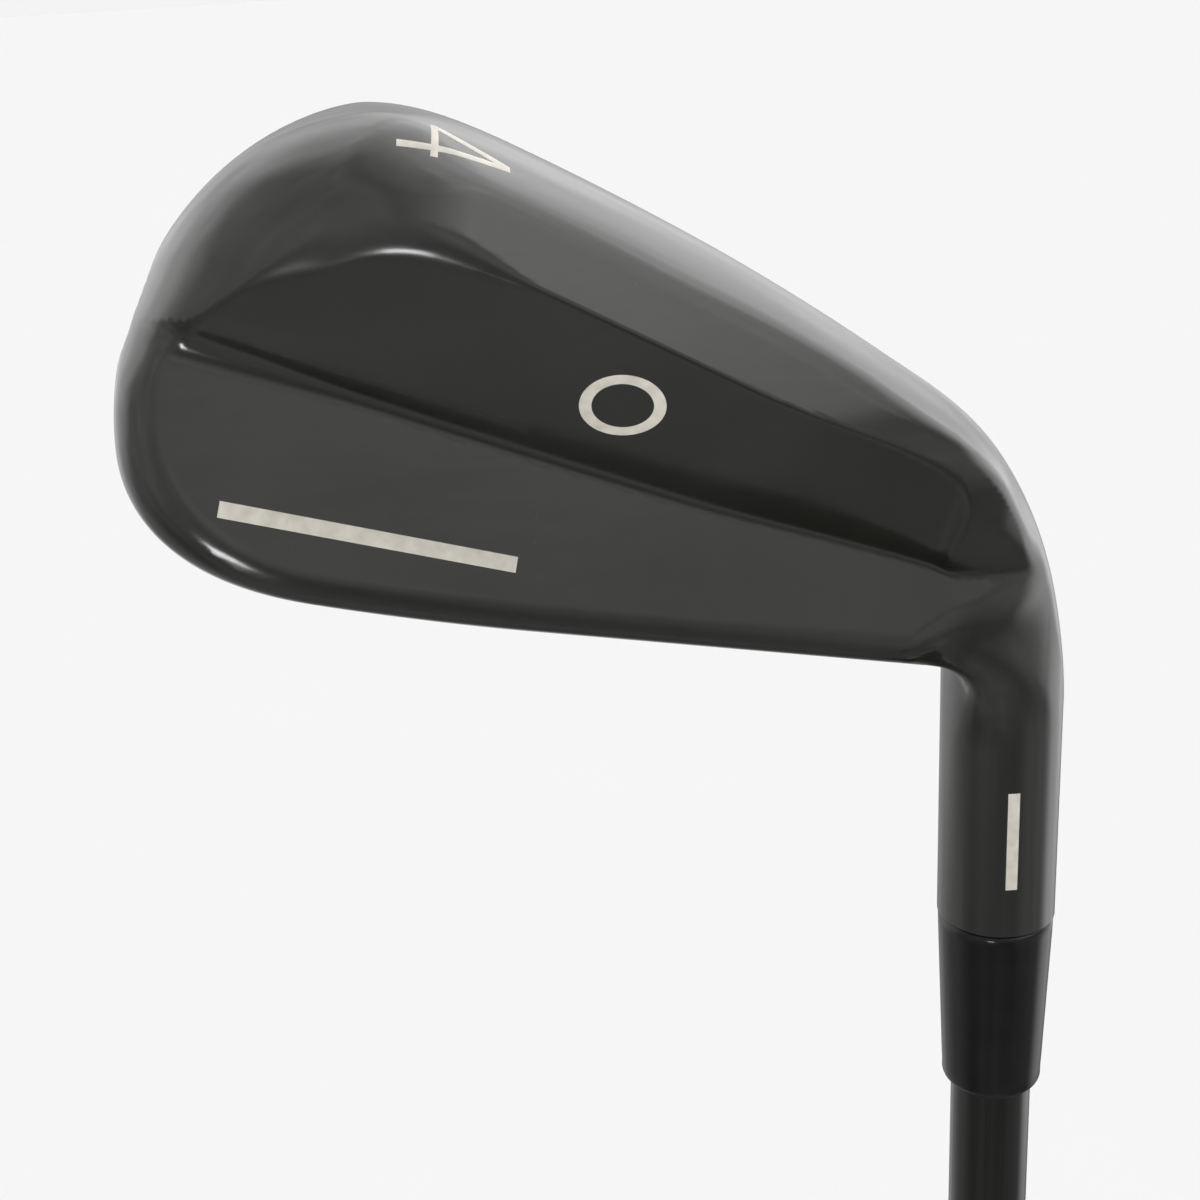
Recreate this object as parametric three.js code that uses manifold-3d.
// A right-handed hollow-body iron, number 4, on a full-length graphite shaft with a rubber grip.
// Units are millimetres. The club frame has +Z up the shaft from the butt of the grip to the head,
// the toe towards -X and the target towards +Y. The head is drawn in the address frame: the sole
// rests on z = 0, x runs from heel to toe, y to the target, and the shaft axis meets the ground
// at the frame's origin.
import * as THREE from 'three';
import { mergeVertices } from 'three/addons/utils/BufferGeometryUtils.js';
import Module from 'manifold-3d';

const wasm = await Module();
wasm.setup();

// Club
const CLUB_LENGTH = 990.6;
const LIE = THREE.MathUtils.degToRad(60.5);
const LOFT = THREE.MathUtils.degToRad(22);
const GAP = 0.3;

// Hosel, measured along the shaft axis from the ground
const HOSEL_TOP = 63.3;
const HOSEL_R = 6.7;
const NECK_TOP = 46;
const NECK_STEPS = 12;
const NECK_X = 12;
const BORE_R = 5;
const BORE_DEPTH = 30;
const CORE_FOOT = 17;
const CORE_TAPER = 18;

// Face and leading edge
const LEADING_EDGE_AHEAD = 3.9;
const LEADING_EDGE_R = 2.4;

// Sole: a rocker from heel to toe, and a camber that is tighter behind its lowest line
const ROCKER_X = 52;
const ROCKER_R = 268;
const CAMBER_Y = -8;
const CAMBER_FRONT_R = 32;
const CAMBER_REAR_R = 15.3;

// Toe: two quarter ellipses seen along the target line
const TOE_X = 58.4;
const TOE_W = 28.9;
const TOE_LENGTH = 25.1;
const TOE_DROP = 29;
const TOE_RISE = 28.6;
const TOE_LEAN = 0.3;

// Top line, as a height up the face
const TOP_AT_HEEL = 33.4;
const TOP_SLOPE = 0.297;
const TOP_BLEND = 13.1;

// Back, as depths behind the face plane
const PANEL_T = 6.2;
const PANEL_RIM = 2;
const RIM_DROP = 1.1;
const STEP_T = 9;
const STEP_W = 25.4;
const STEP_SLOPE = 0.108;
const STEP_FOOT = 1.7;
const CREST_T = 21.1;
const CREST_W = 19;

// Rear wall between the sole and the crest. It leans back as it rises, and turns upright and
// forward round the toe, where the crest climbs to the step.
const WALL_Y = -20;
const WALL_LEAN = -0.49;
const WALL_FOOT_Z = 5;
const WALL_TOE_X = 59.7;
const WALL_TOE_CURL = 0.039;
const WALL_TOE_LEAN = 0.72;
const CREST_Z = 9.5;
const CREST_CLIMB = 0.046;
const WALL_HEEL_X = 25.7;
const WALL_HEEL_CURL = 0.009;

// Hollow, face plate and scorelines
const FACE_T = 2.4;
const SHELL = 2.6;
const SCORE_COUNT = 11;
const SCORE_FIRST_W = 8;
const SCORE_PITCH = 3.2;
const SCORE_HEEL_X = 14;
const SCORE_TOE_X = 58;
const SCORE_WIDTH = 0.8;
const SCORE_DEPTH = 0.4;

// Shaft, ferrule and grip
const TIP_R = 4.7;
const TIP_BORE_R = 3;
const TIP_PARALLEL = 110;
const BUTT_R = 7.6;
const BUTT_BORE_R = 6.4;
const FERRULE_LENGTH = 22.6;
const FERRULE_END_R = 5.8;
const GRIP_LENGTH = 266;
const GRIP_BUTT_R = 13.4;
const GRIP_MOUTH_R = 8.9;
const CAP_HEIGHT = 5;
const VENT_R = 1.5;
const TAPE = 0.4;

const RING = 48;
const black = { roughness: 0.16, metalness: 0.9 };
const materials = {
  body: new THREE.MeshStandardMaterial({ color: 0x26282a, ...black }),
  face: new THREE.MeshStandardMaterial({ color: 0x2a2b2d, roughness: 0.42, metalness: 0.9 }),
  tungsten: new THREE.MeshStandardMaterial({ color: 0x6f7174, roughness: 0.45, metalness: 1 }),
  brass: new THREE.MeshStandardMaterial({ color: 0xb08d4a, roughness: 0.35, metalness: 1 }),
  ferrule: new THREE.MeshStandardMaterial({ color: 0x101113, roughness: 0.2, metalness: 0 }),
  shaft: new THREE.MeshStandardMaterial({ color: 0x231f1e, roughness: 0.25, metalness: 0.1 }),
  grip: new THREE.MeshStandardMaterial({ color: 0x17181a, roughness: 0.85, metalness: 0 }),
  tape: new THREE.MeshStandardMaterial({ color: 0xcfc7ae, roughness: 0.9, metalness: 0 }),
};

// ---- solids -------------------------------------------------------------------------------

function toSolid(geometry) {
  const bare = geometry.index ? geometry.toNonIndexed() : geometry.clone();
  for (const name of Object.keys(bare.attributes)) {
    if (name !== 'position') bare.deleteAttribute(name);
  }
  const merged = mergeVertices(bare, 1e-4);
  const mesh = new wasm.Mesh({
    numProp: 3,
    vertProperties: new Float32Array(merged.attributes.position.array),
    triVerts: new Uint32Array(merged.index.array),
  });
  return new wasm.Manifold(mesh);
}

// Slivers without volume that a union can leave are dropped.
function toGeometry(solid) {
  const bodies = solid.decompose().sort((a, b) => b.volume() - a.volume());
  const mesh = bodies[0].getMesh();
  const geometry = new THREE.BufferGeometry();
  geometry.setAttribute('position', new THREE.BufferAttribute(mesh.vertProperties, 3));
  geometry.setIndex(new THREE.BufferAttribute(mesh.triVerts, 1));
  geometry.computeVertexNormals();
  return geometry;
}

function piece(name, geometry, material) {
  const mesh = new THREE.Mesh(geometry, material);
  mesh.name = name;
  return mesh;
}

// A closed body through rings of points. Every ring has the same number of points.
function loft(rings) {
  const count = rings[0].length;
  const positions = rings.flat().flatMap((p) => [p.x, p.y, p.z]);
  const index = [];
  for (let i = 0; i < rings.length - 1; i++) {
    for (let j = 0; j < count; j++) {
      const a = i * count + j;
      const b = i * count + (j + 1) % count;
      index.push(a, b, b + count, a, b + count, a + count);
    }
  }
  for (const [ring, flip] of [[0, true], [rings.length - 1, false]]) {
    const centre = rings[ring].reduce((sum, p) => sum.add(p), new THREE.Vector3());
    centre.divideScalar(count);
    const hub = positions.length / 3;
    positions.push(centre.x, centre.y, centre.z);
    for (let j = 0; j < count; j++) {
      const a = ring * count + j;
      const b = ring * count + (j + 1) % count;
      index.push(hub, flip ? b : a, flip ? a : b);
    }
  }
  const geometry = new THREE.BufferGeometry();
  geometry.setAttribute('position', new THREE.Float32BufferAttribute(positions, 3));
  geometry.setIndex(index);
  return geometry;
}

// A body of revolution about Z from a closed profile of [radius, z] pairs.
function turned(profile, segments = RING) {
  const points = [...profile, profile[0]].map(([r, z]) => new THREE.Vector2(r, z));
  return new THREE.LatheGeometry(points, segments).rotateX(Math.PI / 2);
}

// ---- head shape ---------------------------------------------------------------------------

// A point at x, a height w up the face plane and a depth t behind it.
function fromFace(x, w, t) {
  const y = LEADING_EDGE_AHEAD - t * Math.cos(LOFT) - w * Math.sin(LOFT);
  return new THREE.Vector3(x, y, w * Math.cos(LOFT) - t * Math.sin(LOFT));
}

function smoothMin(a, b, k) {
  const h = THREE.MathUtils.clamp(0.5 + 0.5 * (b - a) / k, 0, 1);
  return b + (a - b) * h - k * h * (1 - h);
}

function toeChord(x) {
  const u = Math.max(0, x - TOE_X) / TOE_LENGTH;
  return Math.sqrt(Math.max(0, 1 - u * u));
}

function soleHeight(x, y) {
  const across = y - CAMBER_Y;
  const camber = across ** 2 / (2 * (across < 0 ? CAMBER_REAR_R : CAMBER_FRONT_R));
  const sole = (x - ROCKER_X) ** 2 / (2 * ROCKER_R) + camber;
  return Math.max(sole, toeFloor(x, y));
}

// The toe's outline leans back with the face as it rises, so its underside drops to the rear.
function toeFloor(x, y) {
  const w = TOE_W - TOE_DROP * toeChord(x);
  const flat = w * Math.cos(LOFT);
  const depth = (LEADING_EDGE_AHEAD - y) * Math.cos(LOFT) - flat * Math.sin(LOFT);
  const lean = TOE_LEAN * THREE.MathUtils.smoothstep(w + depth * Math.tan(LOFT), 9, 45);
  return flat - lean * Math.max(0, depth) * Math.cos(LOFT);
}

function topHeight(x) {
  return smoothMin(TOP_AT_HEEL + TOP_SLOPE * x, TOE_W + TOE_RISE * toeChord(x), TOP_BLEND);
}

function stepHeight(x) {
  return STEP_W + STEP_SLOPE * (x - 20);
}

function wallAt(x, z) {
  const beyond = Math.max(0, x - WALL_TOE_X) ** 2;
  const crestZ = CREST_Z + CREST_CLIMB * beyond;
  const crestY = WALL_Y + WALL_TOE_CURL * beyond + WALL_LEAN * (crestZ - WALL_FOOT_Z);
  const lean = WALL_LEAN + WALL_TOE_LEAN * THREE.MathUtils.smoothstep(x, 59, 84);
  const heel = WALL_HEEL_CURL * Math.max(0, WALL_HEEL_X - x) ** 2;
  return crestY + lean * (z - crestZ) + heel;
}

function insideWall(point) {
  point.y = Math.max(point.y, wallAt(point.x, point.z));
  return point;
}

// Where the muscle facet, which falls from the step to the crest, meets the rear wall.
function crestAt(x) {
  const fall = (CREST_T - STEP_T) / (stepHeight(x) - CREST_W);
  const point = (z) => new THREE.Vector3(x, wallAt(x, z), z);
  const above = (p) => {
    const reach = LEADING_EDGE_AHEAD - p.y;
    const t = reach * Math.cos(LOFT) - p.z * Math.sin(LOFT);
    const w = reach * Math.sin(LOFT) + p.z * Math.cos(LOFT);
    return t - STEP_T - fall * (stepHeight(x) - w);
  };
  const low = above(point(0));
  const slope = above(point(1)) - low;
  return point(-low / slope);
}

// The outer section of the blade at x, anticlockwise seen from the toe, starting at the top of
// the face.
function bladeSection(x) {
  const top = topHeight(x);
  const cornerY = LEADING_EDGE_AHEAD - soleHeight(x, LEADING_EDGE_AHEAD) * Math.tan(LOFT);
  const corner = new THREE.Vector3(x, cornerY, soleHeight(x, cornerY));
  const cornerW = corner.z / Math.cos(LOFT);
  const faceW = Math.min(cornerW + LEADING_EDGE_R, top - 1.6);
  const soleY = cornerY - LEADING_EDGE_R;
  const points = [];
  for (let i = 0; i <= 5; i++) {
    points.push(fromFace(x, THREE.MathUtils.lerp(top - 0.8, faceW, i / 5), 0));
  }
  const faceEnd = points[points.length - 1];
  const soleStart = new THREE.Vector3(x, soleY, soleHeight(x, soleY));
  points.push(new THREE.QuadraticBezierCurve3(faceEnd, corner, soleStart).getPoint(0.5));
  const footY = wallAt(x, soleHeight(x, wallAt(x, WALL_FOOT_Z)));
  for (let i = 0; i <= 7; i++) {
    const y = THREE.MathUtils.lerp(soleY, footY, i / 7);
    points.push(new THREE.Vector3(x, y, soleHeight(x, y)));
  }
  const step = Math.min(stepHeight(x), top - 3.4);
  const stepTop = insideWall(fromFace(x, step, STEP_T));
  const foot = points[points.length - 1];
  const crest = crestAt(x);
  crest.z = THREE.MathUtils.clamp(crest.z, foot.z + 0.3, stepTop.z - 0.3);
  crest.y = wallAt(x, crest.z);
  points.push(crest, crest.clone().lerp(stepTop, 0.5), stepTop);
  const panelLow = Math.min(step + STEP_FOOT, top - 2.6);
  for (let i = 0; i <= 3; i++) {
    const w = THREE.MathUtils.lerp(panelLow, top - PANEL_RIM, i / 3);
    points.push(fromFace(x, w, PANEL_T));
  }
  points.push(fromFace(x, top - 0.3, PANEL_T - RIM_DROP));
  points.push(fromFace(x, top, PANEL_T / 2));
  points.push(fromFace(x, top - 0.2, 0.6));
  return points;
}

// Stations crowd towards the end of the toe, where the outline turns.
function bladeStations(heelX) {
  const stations = [];
  const end = TOE_X + TOE_LENGTH - 0.4;
  for (let i = 0; i <= 12; i++) {
    stations.push(TOE_X + (end - TOE_X) * Math.sin(Math.PI / 2 * (1 - i / 12)));
  }
  for (let i = 1; i <= 10; i++) {
    stations.push(THREE.MathUtils.lerp(TOE_X, heelX, i / 10));
  }
  return stations;
}

const alongHosel = (s, across) => new THREE.Vector2(
  -s * Math.cos(LIE) + across * Math.sin(LIE),
  s * Math.sin(LIE) + across * Math.cos(LIE),
);

// Angles that spread the points of a blade section round the hosel. They run from 0 at the top
// of the section, down the face, to pi at its lowest point, and back up the rear to 2 pi.
function hoselAngles(blade) {
  const heights = blade.map((p) => p.z);
  const topIndex = heights.indexOf(Math.max(...heights));
  const lowIndex = heights.indexOf(Math.min(...heights));
  const count = blade.length;
  const walk = (from, to, start) => {
    const steps = (to - from + count) % count;
    const lengths = [0];
    for (let i = 1; i <= steps; i++) {
      const a = blade[(from + i - 1) % count];
      lengths.push(lengths[i - 1] + a.distanceTo(blade[(from + i) % count]));
    }
    lengths.forEach((length, i) => {
      angles[(from + i) % count] = start + Math.PI * length / lengths[steps];
    });
  };
  const angles = [];
  walk(lowIndex, topIndex, Math.PI);
  walk(topIndex, lowIndex, 0);
  return angles;
}

// The neck turns the last blade section into the round hosel. Its inner edge runs along the top
// line and up the hosel, its outer edge round the heel.
function neckSections(blade, heelX) {
  const highest = Math.max(...blade.map((p) => p.z));
  const lowest = Math.min(...blade.map((p) => p.z));
  const angles = hoselAngles(blade);
  const inner = new THREE.CubicBezierCurve(
    new THREE.Vector2(heelX, highest),
    new THREE.Vector2(heelX - 17, highest - 4.9),
    alongHosel(NECK_TOP - 10, HOSEL_R),
    alongHosel(NECK_TOP, HOSEL_R),
  );
  const outer = new THREE.CubicBezierCurve(
    new THREE.Vector2(heelX, lowest),
    new THREE.Vector2(heelX - 15, lowest + 0.6),
    alongHosel(NECK_TOP - 25, -HOSEL_R),
    alongHosel(NECK_TOP, -HOSEL_R),
  );
  const ringAt = (a, b, morph) => blade.map((p, i) => {
    const flat = (highest - p.z) / (highest - lowest);
    const share = THREE.MathUtils.lerp(flat, (1 - Math.cos(angles[i])) / 2, morph);
    return new THREE.Vector3(
      THREE.MathUtils.lerp(a.x, b.x, share),
      THREE.MathUtils.lerp(p.y, HOSEL_R * Math.sin(angles[i]), morph),
      THREE.MathUtils.lerp(a.y, b.y, share),
    );
  });
  const sections = [];
  for (let i = 1; i <= NECK_STEPS; i++) {
    const s = i / NECK_STEPS;
    sections.push(ringAt(inner.getPoint(s), outer.getPoint(s), s * s * (3 - 2 * s)));
  }
  const top = ringAt(alongHosel(HOSEL_TOP, HOSEL_R), alongHosel(HOSEL_TOP, -HOSEL_R), 1);
  return [...sections, top];
}

const onHoselAxis = (geometry) => geometry.rotateY(LIE - Math.PI / 2);

function headOuter() {
  const blade = bladeStations(NECK_X).map(bladeSection);
  const tip = blade[0];
  const middle = tip.reduce((sum, p) => sum.add(p), new THREE.Vector3()).divideScalar(tip.length);
  middle.x += 0.5;
  const cap = tip.map((p) => p.clone().lerp(middle, 0.4));
  const skin = loft([cap, ...blade, ...neckSections(blade[blade.length - 1], NECK_X)]);
  return toSolid(skin).add(toSolid(onHoselAxis(hoselCore())));
}

// The round root of the hosel, which runs down inside the neck and holds the bore.
function hoselCore() {
  const r = HOSEL_R - 0.2;
  const profile = [];
  for (let i = 0; i <= 6; i++) {
    const turn = Math.PI / 2 * i / 6;
    profile.push([r * Math.sin(turn), CORE_FOOT + CORE_TAPER * (1 - Math.cos(turn))]);
  }
  profile.push([r, NECK_TOP], [0, NECK_TOP]);
  return turned(profile, 30);
}

// The hollow inside the blade, open towards the face.
function headHollow() {
  const rings = [];
  const count = 14;
  for (let i = 0; i <= count; i++) {
    const x = THREE.MathUtils.lerp(76, 18, i / count);
    const top = topHeight(x) - 6.5;
    const step = stepHeight(x);
    const crest = crestAt(x);
    const rear = crest.y + SHELL;
    const floor = (y) => new THREE.Vector3(x, y, soleHeight(x, y) + SHELL);
    rings.push([
      fromFace(x, top, 1),
      fromFace(x, soleHeight(x, 0) / Math.cos(LOFT) + 6.5, 1),
      floor(-3),
      floor(CAMBER_Y - 2),
      floor(Math.max(rear, -17)),
      new THREE.Vector3(x, rear, Math.max(crest.z, soleHeight(x, rear) + SHELL + 0.4)),
      fromFace(x, step - 0.8, STEP_T - SHELL - 0.4),
      fromFace(x, step + STEP_FOOT, PANEL_T - 2),
      fromFace(x, top, PANEL_T - 2),
    ]);
  }
  return toSolid(loft(rings));
}

// Outline of the face plate, in x and the height up the face, grown or shrunk by margin.
function faceOutline(margin) {
  const shape = new THREE.Shape();
  const low = 5.4 - margin;
  const heel = 11.5 - margin;
  const corner = 6;
  const rise = 16.6 + margin;
  shape.moveTo(heel + corner, low);
  shape.lineTo(TOE_X, low);
  const drop = TOE_W - low;
  shape.absellipse(TOE_X, TOE_W, TOE_LENGTH - 5.5 + margin, drop, -Math.PI / 2, 0, false);
  shape.absellipse(TOE_X, TOE_W, TOE_LENGTH - 5.5 + margin, rise, 0, Math.PI / 2, false);
  shape.lineTo(heel + corner, topHeight(heel + corner) - 5.5 + margin);
  shape.quadraticCurveTo(heel, topHeight(heel) - 6 + margin, heel, TOE_W - 4);
  shape.lineTo(heel, low + corner);
  shape.quadraticCurveTo(heel, low, heel + corner, low);
  return shape;
}

// Places a shape drawn on the face plane and extruded from one depth to another.
function behindFace(shape, from, to) {
  const settings = { depth: to - from, bevelEnabled: false, curveSegments: 14 };
  const geometry = new THREE.ExtrudeGeometry(shape, settings).translate(0, 0, from);
  const up = new THREE.Vector3(0, -Math.sin(LOFT), Math.cos(LOFT));
  const back = new THREE.Vector3(0, -Math.cos(LOFT), -Math.sin(LOFT));
  const basis = new THREE.Matrix4().makeBasis(new THREE.Vector3(1, 0, 0), up, back);
  basis.setPosition(0, LEADING_EDGE_AHEAD, 0);
  return geometry.applyMatrix4(basis);
}

function headBody() {
  const bore = turned([
    [0, HOSEL_TOP - BORE_DEPTH],
    [BORE_R, HOSEL_TOP - BORE_DEPTH],
    [BORE_R, HOSEL_TOP + 2],
    [0, HOSEL_TOP + 2],
  ]);
  const seat = behindFace(faceOutline(GAP), -2, FACE_T + GAP);
  const body = headOuter()
    .subtract(headHollow())
    .subtract(toSolid(seat))
    .subtract(toSolid(onHoselAxis(bore)));
  return piece('head_body', toGeometry(body), materials.body);
}

function facePlate() {
  let plate = toSolid(behindFace(faceOutline(0), 0, FACE_T));
  for (let i = 0; i < SCORE_COUNT; i++) {
    const w = SCORE_FIRST_W + SCORE_PITCH * i;
    const heelX = Math.max(SCORE_HEEL_X, (w + 7.5 - TOP_AT_HEEL) / TOP_SLOPE + 4);
    const line = new THREE.Shape();
    line.moveTo(heelX, w - SCORE_WIDTH / 2);
    line.lineTo(SCORE_TOE_X, w - SCORE_WIDTH / 2);
    line.lineTo(SCORE_TOE_X, w + SCORE_WIDTH / 2);
    line.lineTo(heelX, w + SCORE_WIDTH / 2);
    plate = plate.subtract(toSolid(behindFace(line, -1, SCORE_DEPTH)));
  }
  return piece('face_plate', toGeometry(plate), materials.face);
}

// A dense block low in the toe end of the hollow.
function tungstenWeight() {
  const shape = new THREE.Shape();
  shape.moveTo(-7, 0);
  shape.lineTo(7, 0);
  shape.lineTo(7, 3.4);
  shape.lineTo(5.6, 4.8);
  shape.lineTo(-5.6, 4.8);
  shape.lineTo(-7, 3.4);
  const block = new THREE.ExtrudeGeometry(shape, { depth: 10, bevelEnabled: false });
  block.rotateX(Math.PI / 2);
  const mesh = piece('tungsten_weight', block, materials.tungsten);
  mesh.position.set(60, -4.6, 5.6);
  return mesh;
}

function head() {
  const group = new THREE.Group();
  group.add(headBody(), facePlate(), tungstenWeight());
  group.rotation.y = -(Math.PI / 2 + LIE);
  group.position.z = CLUB_LENGTH;
  return group;
}

// ---- shaft, ferrule and grip --------------------------------------------------------------

const HOSEL_Z = CLUB_LENGTH - HOSEL_TOP;
const SHAFT_TIP_Z = HOSEL_Z + BORE_DEPTH - 2.2;
const SHAFT_BUTT_Z = CAP_HEIGHT + GAP;

function shaft() {
  const parallelZ = SHAFT_TIP_Z - TIP_PARALLEL;
  return piece('shaft', turned([
    [BUTT_R, SHAFT_BUTT_Z],
    [TIP_R, parallelZ],
    [TIP_R, SHAFT_TIP_Z - 0.8],
    [TIP_R - 0.6, SHAFT_TIP_Z],
    [TIP_BORE_R, SHAFT_TIP_Z],
    [TIP_BORE_R, parallelZ],
    [BUTT_BORE_R, SHAFT_BUTT_Z],
  ]), materials.shaft);
}

// A plug in the shaft tip, with a collar that rests on the end of the tube.
function tipWeight() {
  const collarZ = SHAFT_TIP_Z + GAP;
  const pinR = TIP_BORE_R - GAP;
  return piece('tip_weight', turned([
    [0, collarZ + 1.4],
    [0, collarZ - 14],
    [pinR - 0.5, collarZ - 14],
    [pinR, collarZ - 13],
    [pinR, collarZ],
    [TIP_R - 0.3, collarZ],
    [TIP_R - 0.3, collarZ + 1.4],
  ], 32), materials.brass);
}

function ferrule() {
  const seatZ = HOSEL_Z - GAP;
  const endZ = seatZ - FERRULE_LENGTH;
  const inner = TIP_R + GAP;
  const profile = [[inner, seatZ], [inner, endZ]];
  for (let i = 1; i <= 4; i++) {
    const turn = Math.PI / 2 * i / 4;
    const r = inner + 0.1 + (FERRULE_END_R - inner - 0.1) * Math.sin(turn);
    profile.push([r, endZ + 2.4 * (1 - Math.cos(turn))]);
  }
  profile.push([HOSEL_R - 0.05, seatZ]);
  return piece('ferrule', turned(profile), materials.ferrule);
}

// Radius of the shaft at a height within the grip.
function shaftRadius(z) {
  const parallelZ = SHAFT_TIP_Z - TIP_PARALLEL;
  return THREE.MathUtils.mapLinear(z, SHAFT_BUTT_Z, parallelZ, BUTT_R, TIP_R);
}

function gripTape() {
  const low = CAP_HEIGHT + 2;
  const high = GRIP_LENGTH - 4;
  return piece('grip_tape', turned([
    [shaftRadius(low) + GAP + TAPE, low],
    [shaftRadius(high) + GAP + TAPE, high],
    [shaftRadius(high) + GAP, high],
    [shaftRadius(low) + GAP, low],
  ]), materials.tape);
}

function gripSleeve() {
  const low = CAP_HEIGHT + GAP;
  const skin = 2 * GAP + TAPE;
  return piece('grip_sleeve', turned([
    [GRIP_BUTT_R - 0.3, low],
    [GRIP_BUTT_R - 0.1, low + 6],
    [GRIP_BUTT_R - 1.6, low + 60],
    [GRIP_MOUTH_R + 0.3, GRIP_LENGTH - 12],
    [GRIP_MOUTH_R, GRIP_LENGTH - 2],
    [GRIP_MOUTH_R - 0.6, GRIP_LENGTH],
    [shaftRadius(GRIP_LENGTH) + skin, GRIP_LENGTH],
    [shaftRadius(low) + skin, low],
  ]), materials.grip);
}

// The end of the grip, with a vent hole through its flat face.
function gripCap() {
  const profile = [[VENT_R, 0], [GRIP_BUTT_R - 2, 0]];
  for (let i = 1; i <= 4; i++) {
    const turn = Math.PI / 2 * i / 4;
    profile.push([GRIP_BUTT_R - 2 + 2 * Math.sin(turn), 2 * (1 - Math.cos(turn))]);
  }
  profile.push([GRIP_BUTT_R, CAP_HEIGHT - 0.4], [GRIP_BUTT_R - 0.4, CAP_HEIGHT]);
  profile.push([VENT_R, CAP_HEIGHT]);
  return piece('grip_cap', turned(profile), materials.grip);
}

const club = new THREE.Group();
club.add(head(), shaft(), tipWeight(), ferrule(), gripTape(), gripSleeve(), gripCap());

export default club;
